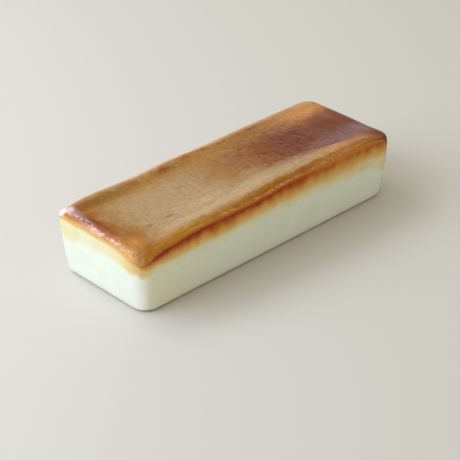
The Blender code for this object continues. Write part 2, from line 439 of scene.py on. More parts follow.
@dataclass
class BarSection:
    """Section of the bar from the underside out, up the wall and in over the rim."""

    base_edge_radius: float = 2.5 * MM
    wall_lean: float = 0.102
    upright_from: float = 12.0 * MM
    upright_span: float = 26.0 * MM
    upright_depth: float = 1.3 * MM
    groove_depth: float = 0.04 * MM
    groove_below_lip: float = 0.9 * MM
    groove_ends: float = 0.85
    lip_proud: float = 0.16 * MM
    lip_swells: Range = (0.5, 1.0)
    slope_stretch: float = 1.2
    dish_ring_inset: float = 25.0 * MM
    steps_base_edge: int = 6
    steps_wall: int = 28
    steps_lip: int = 8
    steps_shoulder: int = 14
    steps_slope: int = 18
    steps_dish: int = 16

    def wall_run(self, height: float) -> float:
        """How far the wall has leaned out from the base plan at a height."""
        upright = max(0.0, height - self.upright_from) / self.upright_span
        return self.wall_lean * height - self.upright_depth * upright**2

    def wall_points(self, top: float) -> list[SectionPoint]:
        """Points of the rounded base edge and of the wall above it.

        Args:
            top: Height at which the groove under the lip starts, in metres.

        Returns:
            The points, from the underside up.
        """
        radius = self.base_edge_radius
        made = [SectionPoint(-radius, 0.0)]
        for share in shares(self.steps_base_edge):
            angle = math.pi / 2 * share
            height = radius * (1 - math.cos(angle))
            inset = radius * (1 - math.sin(angle))
            made.append(SectionPoint(self.wall_run(height) - inset, height))
        for share in shares(self.steps_wall):
            height = radius + (top - radius) * share
            made.append(SectionPoint(self.wall_run(height), height))
        return made

    def points(self, rim_sizes: list[float], lip_strength: float) -> list[SectionPoint]:
        """Points of the section where the rim has these sizes.

        Args:
            rim_sizes: Height of the skin's lower edge, rise from there to the crest, how far
                in the crest lies, and how far the slope into the dish runs, in metres.
            lip_strength: How much the lip stands out, from 0 to 1.

        Returns:
            The points, from the underside up and in.
        """
        lip, rise, crest_inset, slope_run = rim_sizes
        lip_proud = self.lip_proud * lip_strength
        groove_depth = self.groove_depth * lip_strength
        slope_run *= self.slope_stretch
        wall_top = lip - 2 * self.groove_below_lip
        made = self.wall_points(wall_top)
        for share in shares(self.steps_lip):
            height = wall_top + (lip - wall_top) * share
            groove = groove_depth * math.sin(math.pi * min(1.0, share / self.groove_ends)) ** 2
            proud = lip_proud * smooth(*self.lip_swells, share)
            made.append(SectionPoint(self.wall_run(height) - groove + proud, height, share - 1.0))
        edge = self.wall_run(lip)
        for share in shares(self.steps_shoulder):
            angle = math.pi / 2 * share
            inward = (lip_proud + crest_inset) * (1 - math.cos(angle))
            made.append(SectionPoint(edge + lip_proud - inward, lip + rise * math.sin(angle), share))
        for share in shares(self.steps_slope):
            offset = edge - crest_inset - slope_run * share
            dish_share = share**3 * (10 - 15 * share + 6 * share**2)
            made.append(SectionPoint(offset, lip + rise, 1.0 + share, dish_share))
        foot = crest_inset + slope_run
        for share in shares(self.steps_dish):
            offset = edge - foot - (self.dish_ring_inset - foot) * share
            made.append(SectionPoint(offset, lip + rise, 2.0 + share, 1.0))
        return made


@dataclass(frozen=True)
class Dent:
    """Small pit that a bubble or the tin left in a wall: place, radius and depth in mm."""

    side: Side
    along: float
    height: float
    radius: float
    depth: float

    def depth_at(self, side: Side, along: float, height: float) -> float:
        """How deep the wall is pitted at a place of a side, in mm."""
        away = math.hypot(along - self.along, height - self.height) / self.radius
        return self.depth * math.exp(-(away**2)) if side is self.side else 0.0


@dataclass(frozen=True)
class Wrinkles:
    """Wrinkles of one width: their strength and stretch, and the noises that place them."""

    strength: float
    stretch: float
    warp_share: float
    lines: Unevenness
    cover: Unevenness
    covered: Range = (-0.35, 0.20)

    def depth(self, x: float, y: float, turned: tuple[float, float], warp: float) -> float:
        """Depth of these wrinkles at a place.

        Args:
            x: Place along the bar, in mm.
            y: Place across the bar, in mm.
            turned: The same place along and across the wrinkles.
            warp: How far the wrinkles are bent there, in mm.

        Returns:
            The depth, from 0 to the strength.
        """
        along, across = turned
        bend = self.warp_share * warp
        line = max(0.0, 1 - abs(self.lines.at(self.stretch * along + bend, across - bend)))
        return self.strength * line * smooth(*self.covered, self.cover.at(x, y))


@dataclass
class BarRelief:
    """Small uneven form of the bar, all in mm: dish, front bulge, wrinkles, lumps and dents."""

    dish_level: float = 38.0
    dish_near_drop: float = 0.7
    dish_front_rise: float = 0.035
    hills: Unevenness = Unevenness(0.30, 17.0)
    bulge: float = 0.9
    bulge_at: float = 30.0
    bulge_reach: float = 48.0
    bulge_full_height: float = 37.0
    wrinkle_depth: float = 0.28
    wrinkle_axis: Range = (0.92, 0.39)
    wrinkle_warp: Unevenness = Unevenness(1.6, 5.0, 12.0)
    wrinkles: tuple[Wrinkles, ...] = (
        Wrinkles(0.7, 0.60, 1.0, Unevenness(4.5, 3.4, 3.1), Unevenness(1.0, 4.0, 21.0)),
        Wrinkles(0.5, 0.55, -1.0, Unevenness(4.0, 1.8, 8.7), Unevenness(1.0, 3.0, 33.0)),
    )
    wrinkled_rim: Range = (1.3, 2.2)
    wrinkled_along: Range = (-6.0, 34.0)
    wrinkled_wander: Unevenness = Unevenness(12.0, 12.0, 2.2)
    wrinkles_elsewhere: float = 0.06
    calmer_along: Range = (52.0, 78.0)
    calmer_share: float = 0.6
    skin_from: Range = (0.2, 1.0)
    skin_layers: tuple[Unevenness, ...] = (
        Unevenness(0.04, 1.4, 5.5),
        Unevenness(0.024, 0.9, 1.5),
        Unevenness(0.10, 6.0, 7.7),
    )
    ridge_starts: Range = (0.0, 0.5)
    ridge_ends: Range = (1.6, 2.2)
    lumps: tuple[Unevenness, ...] = (
        Unevenness(0.28, 2.6, 6.1, (1.0, 0.55, 1.0)),
        Unevenness(0.168, 1.4, 9.3),
    )
    near_lumps_along: Range = (-80.0, -90.0)
    back_lumps_across: Range = (20.0, 28.0)
    back_lumps_share: float = 1.2
    back_patches: Unevenness = Unevenness(1.0, 12.0, 15.0)
    back_patched: Range = (-0.10, 0.40)
    lip_edge: float = 0.35
    lip_layers: tuple[Unevenness, ...] = (Unevenness(0.26, 1.3), Unevenness(0.156, 3.0, 4.0))
    foot_calm: Range = (0.0, 4.0)
    wall_layers: tuple[Unevenness, ...] = (
        Unevenness(0.12, 16.0),
        Unevenness(0.048, 5.0, 0.0, (1.0, 1.0, 2.0)),
        Unevenness(0.03, 1.3),
    )
    end_beyond: float = 60.0
    dents: tuple[Dent, ...] = (
        Dent(Side.NEAR, 17.0, 30.2, 1.3, 0.50),
        Dent(Side.FRONT, 60.5, 12.6, 1.0, 0.40),
        Dent(Side.FRONT, -24.0, 15.0, 0.9, 0.22),
        Dent(Side.BACK, -38.0, 20.5, 1.1, 0.35),
        Dent(Side.BACK, 52.0, 9.0, 0.9, 0.25),
        Dent(Side.FAR, 6.0, 17.0, 1.1, 0.35),
    )

    def dish_height(self, x: float, y: float, half_length: float) -> float:
        """Height of the dished top inside the rim."""
        drop = self.dish_near_drop * max(0.0, -x / half_length) + self.dish_front_rise * y
        return self.dish_level - drop + self.hills.at(x, y)

    def front_bulge(self, x: float, y: float, z: float) -> float:
        """Extra swell of the front wall, strongest just under the skin."""
        along = math.exp(-(((x - self.bulge_at) / self.bulge_reach) ** 2))
        return self.bulge * along * min(1.0, z / self.bulge_full_height) ** 2 if y < 0 else 0.0

    def creases(self, x: float, y: float, rim_share: float) -> float:
        """Depth of the wrinkles at a place; the far third has most.

        Args:
            x: Place along the bar.
            y: Place across the bar.
            rim_share: 0 at the skin's edge, 1 at the crest, 2 at the foot of the slope.

        Returns:
            The depth, from 0 to 1.
        """
        major, minor = self.wrinkle_axis
        turned = (major * x - minor * y, minor * x + major * y)
        warp = self.wrinkle_warp.at(x, y)
        lines = sum(wrinkles.depth(x, y, turned, warp) for wrinkles in self.wrinkles)
        far = smooth(*self.wrinkled_along, x + self.wrinkled_wander.at(x, y))
        far *= 1 - self.calmer_share * smooth(*self.calmer_along, x)
        where = self.wrinkles_elsewhere + (1 - self.wrinkles_elsewhere) * far
        return where * smooth(*self.wrinkled_rim, rim_share) * lines

    def ridge_lumps(self, x: float, y: float, rim_share: float) -> float:
        """Height of the lumps along the ridge: most at the near end, in patches at the back.

        Args:
            x: Place along the bar.
            y: Place across the bar.
            rim_share: 0 at the skin's edge, 1 at the crest, 2 at the foot of the slope.

        Returns:
            The height to add.
        """
        on_ridge = smooth(*self.ridge_starts, rim_share) * (1 - smooth(*self.ridge_ends, rim_share))
        at_back = smooth(*self.back_lumps_across, y)
        patchy = smooth(*self.back_patched, self.back_patches.at(x, y))
        where = max(smooth(*self.near_lumps_along, x), self.back_lumps_share * patchy * at_back)
        return on_ridge * where * summed(self.lumps, x, y)

    def skin_relief(self, x: float, y: float, rim_share: float) -> float:
        """Fine height of the skin: pores, dimples, wrinkles and lumps.

        Args:
            x: Place along the bar.
            y: Place across the bar.
            rim_share: 0 at the skin's edge, 1 at the crest, 2 at the foot of the slope.

        Returns:
            The height to add.
        """
        fine = smooth(*self.skin_from, rim_share) * summed(self.skin_layers, x, y)
        wrinkles = self.wrinkle_depth * self.creases(x, y, rim_share)
        return fine - wrinkles + self.ridge_lumps(x, y, rim_share)

    def wall_relief(self, x: float, y: float, z: float) -> float:
        """How far the wall stands out at a place.

        Args:
            x: Place along the bar.
            y: Place across the bar.
            z: Height.

        Returns:
            The distance to add.
        """
        if abs(x) - abs(y) > self.end_beyond:
            side, along = (Side.FAR if x > 0 else Side.NEAR), y
        else:
            side, along = (Side.BACK if y > 0 else Side.FRONT), x
        dented = sum(dent.depth_at(side, along, z) for dent in self.dents)
        return (summed(self.wall_layers, x, y, z) - dented) * smooth(*self.foot_calm, z)

    def lip_relief(self, x: float, y: float, rim_share: float) -> float:
        """How far the crumbly lower edge of the skin stands out."""
        return max(0.0, 1 - abs(rim_share) / self.lip_edge) * summed(self.lip_layers, x, y)


@dataclass
class WallStain:
    """Browning that runs down the wall from the skin: a crust, and a paler tint below it."""

    lip_level: float = 0.66
    lip_pales: Range = (0.5, 2.0)
    peak_nears: Range = (0.25, 1.0)
    crust_fade: float = 1.5
    tint_softness: float = 2.6
    drips: tuple[Unevenness, ...] = (
        Unevenness(1.40, 11.7, 5.0, (1.0, 1.0, 0.45)),
        Unevenness(0.55, 4.5, 0.0, (1.0, 1.0, 0.45)),
        Unevenness(0.20, 2.25, 9.0, (1.0, 1.0, 0.45)),
    )
    drips_below: Range = (1.0, 6.0)
    blotches: Unevenness = Unevenness(0.20, 4.2, 0.0, (1.0, 1.0, 0.7))
    blotches_below: Range = (1.5, 4.0)

    def level(self, place: Vector, depth: float, sizes: list[float]) -> float:
        """Stain at a place of the wall.

        Args:
            place: The place, in mm.
            depth: How far it is below the skin's edge, in mm.
            sizes: The stain's sizes there, as a station names them.

        Returns:
            The level, from 0 for bare curd to 1 for the darkest crust.
        """
        peak, peak_depth, crust_reach, tint, tint_reach = sizes
        depth += summed(self.drips, *place) * smooth(*self.drips_below, depth)
        if depth < peak_depth:
            start = min(peak, peak + (self.lip_level - peak) * smooth(*self.lip_pales, peak_depth))
            crust = start + (peak - start) * smooth(*self.peak_nears, depth / peak_depth)
        else:
            left = max(0.0, 1 - (depth - peak_depth) / (crust_reach - peak_depth))
            crust = peak * left**self.crust_fade
        crust *= 1 + self.blotches.at(*place) * smooth(*self.blotches_below, depth)
        soft = self.tint_softness
        return max(crust, tint * (1 - smooth(tint_reach - soft, tint_reach + soft, depth)))


def quads(rows: list[list[int]]) -> list[tuple[int, ...]]:
    """Four-sided faces between neighbouring rows of points.

    Args:
        rows: Numbers of the points, row by row, with as many in each.

    Returns:
        The faces, each as the numbers of its corners.
    """
    return [
        (lower[i], lower[i + 1], upper[i + 1], upper[i])
        for lower, upper in zip(rows, rows[1:])
        for i in range(len(lower) - 1)
    ]


@dataclass
class RingSpot:
    """One place of every ring: its number, the way out there, and the sizes there in mm."""

    index: int
    outward: Vector
    lip: float
    stain: list[float]


@dataclass
class CheesecakeBar:
    """The whole bar: swept wall and rim, dished middle, flat underside and its finishes."""

    plan: BarPlan = field(default_factory=BarPlan)
    section: BarSection = field(default_factory=BarSection)
    relief: BarRelief = field(default_factory=BarRelief)
    stain: WallStain = field(default_factory=WallStain)
    soft_near_lip: float = 0.80
    near_lip_facing: Range = (0.05, 0.60)
    soft_far_lip: float = 0.75
    far_lip_along: Range = (0.0, 55.0)
    side_facing: Range = (0.25, 0.85)
    end_facing: Range = (0.45, 0.95)
    centre_shift: tuple[float, float] = (0.008 * MM, 0.432 * MM)

    def swept_rings(self) -> tuple[list[list[Vector]], list[dict[Mask, float]]]:
        """Points of all the rings, base first, with the mask values of each.

        Returns:
            The rings, and one table of mask values for each point, ring by ring.
        """
        rim = StationCurve(self.plan, RIM_STATIONS)
        stains = StationCurve(self.plan, STAIN_STATIONS)
        columns = []
        for index, place in enumerate(self.plan.places()):
            rim_sizes = rim.at(place)
            outward = self.plan.outward(index)
            along = self.plan.point(index, 0.0).x / MM
            lip_strength = 1 - self.soft_near_lip * smooth(*self.near_lip_facing, -outward.x)
            lip_strength *= 1 - self.soft_far_lip * smooth(*self.far_lip_along, along)
            spot = RingSpot(index, outward, rim_sizes[0], stains.at(place))
            section = self.section.points([size * MM for size in rim_sizes], lip_strength)
            columns.append([self.surface_point(spot, point) for point in section])
        levels = list(zip(*columns))
        rings = [[point for point, _ in level] for level in levels]
        masks = [values for level in levels for _, values in level]
        return rings, masks

    def surface_point(self, spot: RingSpot, point: SectionPoint) -> tuple[Vector, dict[Mask, float]]:
        """Place one point of the section round the plan and give it its relief.

        Args:
            spot: Where on the ring it is.
            point: The point of the section.

        Returns:
            The point in metres, and its mask values.
        """
        relief, outward, rim_share = self.relief, spot.outward, point.rim_share
        x, y = self.plan.point(spot.index, point.offset) / MM
        z = point.height / MM
        if point.dish_share:
            z += point.dish_share * (relief.dish_height(x, y, self.plan.length / 2 / MM) - z)
        elif z > 0:
            y -= relief.front_bulge(x, y, z)
        out = relief.lip_relief(x, y, rim_share)
        if rim_share < 0 and z > 0:
            out += relief.wall_relief(x, y, z)
        up = relief.skin_relief(x, y, rim_share) if rim_share > 0 else 0.0
        below = max(0.0, spot.lip - z) if rim_share <= 0 else 0.0
        masks = {
            Mask.RIM_SHARE: rim_share,
            Mask.BAKE: self.stain.level(Vector((x, y, z)), below, spot.stain),
            Mask.CREASE: relief.creases(x, y, rim_share),
            Mask.FRONT: smooth(*self.side_facing, -outward.y),
            Mask.FAR: smooth(*self.end_facing, outward.x),
            Mask.BACK: smooth(*self.side_facing, outward.y),
            Mask.NEAR: smooth(*self.end_facing, -outward.x),
        }
        return Vector((x + out * outward.x, y + out * outward.y, z + up)) * MM, masks

    def dish_point(self, edges: list[list[Vector]], i: int, j: int) -> Vector:
        """Point of the dish between the four edges of its grid.

        Args:
            edges: Front, back, near and far edges, as points.
            i: Column of the point.
            j: Row of the point.

        Returns:
            The point, in metres.
        """
        front, back, near, far = edges
        u, v = i / (len(front) - 1), j / (len(near) - 1)
        flat = front[i] * (1 - v) + back[i] * v + near[j] * (1 - u) + far[j] * u
        flat -= front[0] * (1 - u) * (1 - v) + front[-1] * u * (1 - v)
        flat -= back[0] * (1 - u) * v + back[-1] * u * v
        x, y = flat.x / MM, flat.y / MM
        height = self.relief.dish_height(x, y, self.plan.length / 2 / MM)
        return Vector((x, y, height + self.relief.skin_relief(x, y, IN_DISH))) * MM

    def fill_dish(
        self, points: list[Vector], masks: list[dict[Mask, float]], count: int
    ) -> list[list[int]]:
        """Fill the middle of the dish with a grid that the innermost ring frames.

        Args:
            points: The mesh's points, which the grid's are added to.
            masks: The mask values of the points, likewise.
            count: Number of points on a ring.

        Returns:
            The grid's rows of point numbers, from front to back.
        """
        inner = len(points) - count
        columns = self.plan.steps_side + self.plan.steps_corner
        rows = self.plan.steps_end + self.plan.steps_corner
        start = self.plan.steps_corner // 2
        front = [inner + (start + i) % count for i in range(columns + 1)]
        back = [inner + (start + 2 * columns + rows - i) % count for i in range(columns + 1)]
        near = [inner + (start - j) % count for j in range(rows + 1)]
        far = [inner + (start + columns + j) % count for j in range(rows + 1)]
        edges = [[points[number] for number in edge] for edge in (front, back, near, far)]
        grid = [front]
        for j in range(1, rows):
            grid.append([near[j], *range(len(points), len(points) + columns - 1), far[j]])
            for i in range(1, columns):
                point = self.dish_point(edges, i, j)
                crease = self.relief.creases(point.x / MM, point.y / MM, IN_DISH)
                points.append(point)
                masks.append(dict.fromkeys(Mask, 0.0) | {Mask.RIM_SHARE: IN_DISH, Mask.CREASE: crease})
        return [*grid, back]

    def build(self) -> bpy.types.Object:
        """Build the bar's mesh, with its masks, as an object in the scene.

        Returns:
            The bar's object.
        """
        rings, masks = self.swept_rings()
        count = len(rings[0])
        points = [point for ring in rings for point in ring]
        grid = self.fill_dish(points, masks, count)
        swept = [[*range(level * count, (level + 1) * count), level * count] for level in range(len(rings))]
        skin_level = self.section.steps_base_edge + self.section.steps_wall + self.section.steps_lip
        faces = [tuple(reversed(range(count))), *quads(swept[: skin_level + 1])]
        slots = [0] * len(faces)
        faces += quads(swept[skin_level:]) + quads(grid)
        slots += [1] * (len(faces) - len(slots))
        shift = Vector((*self.centre_shift, 0.0))
        mesh = bpy.data.meshes.new("cheesecake_bar")
        mesh.from_pydata([point + shift for point in points], [], faces)
        mesh.polygons.foreach_set("material_index", slots)
        for mask in Mask:
            layer = mesh.attributes.new(mask.value, "FLOAT", "POINT")
            layer.data.foreach_set("value", [values[mask] for values in masks])
        mesh.shade_smooth()
        mesh.polygons[0].use_smooth = False  # the underside
        bar = bpy.data.objects.new("cheesecake_bar", mesh)
        bpy.context.scene.collection.objects.link(bar)
        return bar

    def dress(self, bar: bpy.types.Object) -> None:
        """Give the bar its finishes and its place in the frame.

        Args:
            bar: The bar's object.
        """
        bar.data.materials.append(CurdFinish().material())
        bar.data.materials.append(BakedSkinFinish().material())
        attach(bar, "root")
        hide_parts("cheesecake")


# ---------------------------------------------------------------- finishes


class Nodes:
    """Short ways to add nodes to one tree."""

    def __init__(self, tree: bpy.types.NodeTree) -> None:
        """Take the tree of a material or a group, which the nodes go into."""
        self.tree = tree

    def put(self, socket: Socket, given: Given) -> None:
        """Link an input to an output, or set it where a plain value is given.

        Args:
            socket: The input.
            given: An output socket, a number or a tuple.
        """
        if isinstance(given, Socket):
            self.tree.links.new(given, socket)
        else:
            socket.default_value = given

    def value(self, operation: str, *inputs: Given) -> Socket:
        """Math node.

        Args:
            operation: Blender's name of the operation.
            inputs: Its inputs.

        Returns:
            The result.
        """
        node = self.tree.nodes.new("ShaderNodeMath")
        node.operation = operation
        for socket, given in zip(node.inputs, inputs):
            self.put(socket, given)
        return node.outputs[0]

    def rest(self, share: Given) -> Socket:
        """What a share leaves of 1."""
        return self.value("SUBTRACT", 1.0, share)

    def product(self, first: Given, *others: Given) -> Given:
        """Product of values.

        Args:
            first: One value.
            others: The values that it is multiplied by.

        Returns:
            The product.
        """
        for other in others:
            first = self.value("MULTIPLY", first, other)
        return first

    def moved(self, value: Given, share: Given, distance: Given) -> Socket:
        """Value moved up by a share of a distance."""
        return self.value("MULTIPLY_ADD", share, distance, value)

    def swing(self, noise_value: Socket, reach: Given) -> Socket:
        """Noise from 0 to 1 turned into a swing about 0, of this reach from end to end."""
        return self.product(self.value("SUBTRACT", noise_value, 0.5), reach)

    def ranged(self, value: Given, low: float, high: float) -> Socket:
        """Value from 0 to 1 turned into one from low to high."""
        return self.moved(low, value, high - low)

    def step(self, value: Given, low: float, high: float, kind: str = "SMOOTHSTEP") -> Socket:
        """Step of a value from 0 to 1.

        Args:
            value: The value.
            low: Where the step starts.
            high: Where the step ends.
            kind: Blender's name of the form of the step.

        Returns:
            The step, from 0 to 1.
        """
        node = self.tree.nodes.new("ShaderNodeMapRange")
        node.interpolation_type = kind
        for name, given in (("Value", value), ("From Min", low), ("From Max", high)):
            self.put(node.inputs[name], given)
        return node.outputs[0]

    def between(self, value: Given, starts: Range, ends: Range) -> Socket:
        """1 between two smooth steps and 0 outside them."""
        return self.value("SUBTRACT", self.step(value, *starts), self.step(value, *ends))

    def mix(self, share: Given, first: Given, second: Given) -> Socket:
        """Mix of two colours.

        Args:
            share: How much of the second, from 0 to 1.
            first: One colour.
            second: The other.

        Returns:
            The mix.
        """
        node = self.tree.nodes.new("ShaderNodeMix")
        node.data_type = "RGBA"
        for index, given in ((0, share), (6, first), (7, second)):
            self.put(node.inputs[index], given)
        return node.outputs[2]

    def ramp(self, value: Given, stops: tuple[Stop, ...]) -> Socket:
        """Colours along a value.

        Args:
            value: The value.
            stops: The value and the tone at each stop, in order.

        Returns:
            The colour.
        """
        low, high = stops[0][0], stops[-1][0]
        node = self.tree.nodes.new("ShaderNodeValToRGB")
        elements = node.color_ramp.elements
        for index, (at, tone) in enumerate(stops):
            place = (at - low) / (high - low)
            element = elements[index] if index < len(elements) else elements.new(place)
            element.position, element.color = place, srgb(*tone.value)
        self.put(node.inputs[0], self.step(value, low, high, "LINEAR"))
        return node.outputs[0]

    def mask(self, mask: Mask) -> Socket:
        """One of the values that the mesh carries.

        Args:
            mask: Which one.

        Returns:
            The value.
        """
        node = self.tree.nodes.new("ShaderNodeAttribute")
        node.attribute_name = mask.value
        return node.outputs["Fac"]

    def group(self, tree: bpy.types.NodeTree, **inputs: Given) -> Socket:
        """Place a node group with its own values.

        Args:
            tree: The group.
            inputs: Values of its inputs, with spaces in their names written as underscores.

        Returns:
            The group's output.
        """
        node = self.tree.nodes.new("ShaderNodeGroup")
        node.node_tree = tree
        for name, given in inputs.items():
            self.put(node.inputs[name.replace("_", " ").title()], given)
        return node.outputs[0]

    def vector(self, operation: str, first: Given, second: Given) -> Socket:
        """Vector math node on two vectors.

        Args:
            operation: Blender's name of the operation.
            first: One vector.
            second: The other.

        Returns:
            The result.
        """
        node = self.tree.nodes.new("ShaderNodeVectorMath")
        node.operation = operation
        self.put(node.inputs[0], first)
        self.put(node.inputs[1], second)
        return node.outputs[0]

    def length(self, vector: Given) -> Socket:
        """Length of a vector.

        Args:
            vector: The vector.

        Returns:
            The length.
        """
        node = self.tree.nodes.new("ShaderNodeVectorMath")
        node.operation = "LENGTH"
        self.put(node.inputs[0], vector)
        return node.outputs["Value"]

    def scaled(self, vector: Given, factor: Given) -> Socket:
        """Place or colour times a factor.

        Args:
            vector: The place or colour.
            factor: The factor.

        Returns:
            The product, part by part.
        """
        node = self.tree.nodes.new("ShaderNodeVectorMath")
        node.operation = "SCALE"
        self.put(node.inputs[0], vector)
        self.put(node.inputs["Scale"], factor)
        return node.outputs[0]

    def stretched(self, place: Socket, factors: tuple[float, float, float]) -> Socket:
        """Place with each axis scaled by its own factor."""
        return self.vector("MULTIPLY", place, factors)

    def place_mm(self) -> Socket:
        """Place on the object, in mm."""
        node = self.tree.nodes.new("ShaderNodeTexCoord")
        return self.scaled(node.outputs["Object"], 1 / MM)

    def parts(self, place: Socket) -> list[Socket]:
        """The three parts of a place.

        Args:
            place: The place.

        Returns:
            Its parts along, across and up.
        """
        node = self.tree.nodes.new("ShaderNodeSeparateXYZ")
        self.put(node.inputs[0], place)
        return list(node.outputs)

    def noise(self, place: Socket, span: Given, detail: float = 2.0) -> Socket:
        """Noise from 0 to 1.

        Args:
            place: Place in mm.
            span: Width of a feature, in mm.
            detail: How many finer layers it has.

        Returns:
            The noise.
        """
        node = self.tree.nodes.new("ShaderNodeTexNoise")
        self.put(node.inputs["Vector"], place)
        scale = self.value("DIVIDE", 1.0, span) if isinstance(span, Socket) else 1 / span
        self.put(node.inputs["Scale"], scale)
        node.inputs["Detail"].default_value = detail
        return node.outputs[0]

    def bump(self, height: Socket, depth: float, strength: float) -> Socket:
        """Normal bent by a fine height.

        Args:
            height: The height, from 0 to 1.
            depth: The depth that a height of 1 stands for, in mm.
            strength: How strongly it bends the normal.

        Returns:
            The normal.
        """
        node = self.tree.nodes.new("ShaderNodeBump")
        self.put(node.inputs["Height"], height)
        node.inputs["Distance"].default_value = depth * MM
        node.inputs["Strength"].default_value = strength
        return node.outputs["Normal"]


class Kind(Enum):
    """Kinds of a group's inputs and outputs."""

    NUMBER = "NodeSocketFloat"
    PLACE = "NodeSocketVector"
    COLOUR = "NodeSocketColor"


@dataclass(frozen=True)
class LipCrumbsAndGlints:
    """Sizes of the crumbs and painted glints along the lip: spans and places in mm, the rest in rim share.
    """

    edge_span: float = 2.4
    edge_swing: float = 0.5
    above: Range = (-0.45, -0.15)
    below: Range = (0.16, 0.40)
    span: float = 1.25
    clear: Range = (0.44, 0.56)
    cluster_span: float = 8.0
    clustered: Range = (0.32, 0.46)
    near_end: Range = (-70.0, -50.0)
    far_end: Range = (42.0, 62.0)


class EffectGroups:
    """Shader node groups that the finishes share, each built once."""

    @staticmethod
    def start(
        name: str, inputs: dict[str, tuple[Kind, Given]], output: tuple[str, Kind]
    ) -> tuple[Nodes, bpy.types.NodeOutputs, Socket]:
        """Start a group with its sockets.

        Args:
            name: The group's name.
            inputs: Kind and default value of each input.
            output: Name and kind of the output.

        Returns:
            A Nodes for the tree, the inputs' values, and the socket that takes the result.
        """
        tree = bpy.data.node_groups.new(name, "ShaderNodeTree")
        for label, (kind, default) in inputs.items():
            socket = tree.interface.new_socket(label, in_out="INPUT", socket_type=kind.value)
            socket.default_value = default
        tree.interface.new_socket(output[0], in_out="OUTPUT", socket_type=output[1].value)
        given = tree.nodes.new("NodeGroupInput")
        result = tree.nodes.new("NodeGroupOutput")
        return Nodes(tree), given.outputs, result.inputs[0]

    @staticmethod
    @cache
    def soft_patch() -> bpy.types.NodeTree:
        """Soft oval patch with an uneven edge: 1 in the middle, 0 outside.

        Returns:
            The group.
        """
        nodes, given, result = EffectGroups.start(
            "soft_patch",
            {
                "Place": (Kind.PLACE, ORIGIN),
                "Middle": (Kind.PLACE, ORIGIN),
                "Reach": (Kind.PLACE, (10.0, 10.0, 1.0)),
                "Ragged": (Kind.NUMBER, 0.3),
                "Span": (Kind.NUMBER, 6.0),
            },
            ("Mask", Kind.NUMBER),
        )
        away = nodes.vector("SUBTRACT", given["Place"], given["Middle"])
        radius = nodes.length(nodes.vector("DIVIDE", away, given["Reach"]))
        uneven = nodes.swing(nodes.noise(given["Place"], given["Span"]), 2.0)
        radius = nodes.moved(radius, uneven, given["Ragged"])
        nodes.put(result, nodes.rest(nodes.step(radius, *PATCH_FADES)))
        return nodes.tree

    @staticmethod
    @cache
    def grain() -> bpy.types.NodeTree:
        """Fine grain of a baked surface, as a height from 0 to 1.

        Returns:
            The group.
        """
        nodes, given, result = EffectGroups.start(
            "grain",
            {"Place": (Kind.PLACE, ORIGIN), "Span": (Kind.NUMBER, 1.0)},
            ("Height", Kind.NUMBER),
        )
        nodes.put(result, nodes.noise(given["Place"], given["Span"], detail=3.0))
        return nodes.tree

    @staticmethod
    @cache
    def lip_crumbs() -> bpy.types.NodeTree:
        """Crumbs and painted glints along the skin's torn lower edge: 1 on a crumb, 0 between them.

        Returns:
            The group.
        """
        nodes, given, result = EffectGroups.start(
            "lip_crumbs",
            {"Place": (Kind.PLACE, ORIGIN), "Rim": (Kind.NUMBER, 0.0)},
            ("Mask", Kind.NUMBER),
        )
        sizes, place = LipCrumbsAndGlints(), given["Place"]
        edge = nodes.swing(nodes.noise(place, sizes.edge_span, detail=1.0), sizes.edge_swing)
        at = nodes.value("ADD", given["Rim"], edge)
        line = nodes.product(nodes.step(at, *sizes.above), nodes.rest(nodes.step(at, *sizes.below)))
        crumbs_and_glints = nodes.step(nodes.noise(place, sizes.span, detail=1.0), *sizes.clear)
        clusters = nodes.step(nodes.noise(place, sizes.cluster_span, detail=1.0), *sizes.clustered)
        along = nodes.between(nodes.parts(place)[0], sizes.near_end, sizes.far_end)
        nodes.put(result, nodes.product(line, crumbs_and_glints, clusters, along))
        return nodes.tree

    @staticmethod
    @cache
    def mottle() -> bpy.types.NodeTree:
        """Colour made uneven: darker and lighter clouds, and fine specks.

        Returns:
            The group.
        """
        nodes, given, result = EffectGroups.start(
            "mottle",
            {
                "Colour": (Kind.COLOUR, (0.5, 0.5, 0.5, 1.0)),
                "Place": (Kind.PLACE, ORIGIN),
                "Cloud Span": (Kind.NUMBER, 9.0),
                "Speck Span": (Kind.NUMBER, 1.0),
                "Cloud": (Kind.NUMBER, 0.2),
                "Speck": (Kind.NUMBER, 0.1),
            },
            ("Colour", Kind.COLOUR),
        )
        factor: Given = 1.0
        for layer, detail in (("Cloud", 3.0), ("Speck", 2.0)):
            texture = nodes.noise(given["Place"], given[f"{layer} Span"], detail)
            factor = nodes.moved(factor, nodes.swing(texture, 2.0), given[layer])
        nodes.put(result, nodes.scaled(given["Colour"], factor))
        return nodes.tree


@dataclass(frozen=True)
class Patch:
    """A patch of another colour: its middle, reach and the span of its ragged edge, in mm."""

    middle: tuple[float, float]
    reach: tuple[float, float]
    colour: Colour
    strength: float
    ragged: float = 0.3
    span: float = 6.0

    def share(self, nodes: Nodes, flat: Socket) -> Socket:
        """How much of the patch shows.

        Args:
            nodes: The material's nodes.
            flat: Place in the plan, in mm.

        Returns:
            The share, from 0 to the patch's strength.
        """
        patch = nodes.group(
            EffectGroups.soft_patch(),
            place=flat,
            middle=(*self.middle, 0.0),
            reach=(*self.reach, 1.0),
            ragged=self.ragged,
            span=self.span,
        )
        return nodes.product(patch, self.strength)

    def over(self, nodes: Nodes, flat: Socket, colour: Socket) -> Socket:
        """Colour with the patch laid over it."""
        return nodes.mix(self.share(nodes, flat), colour, self.colour)


@dataclass(frozen=True)
class RimPlace:
    """What places the zones of the rim in a material, as sockets of its nodes."""

    axes: list[Socket]
    rim: Socket
    wander: Socket
    leaning: Socket


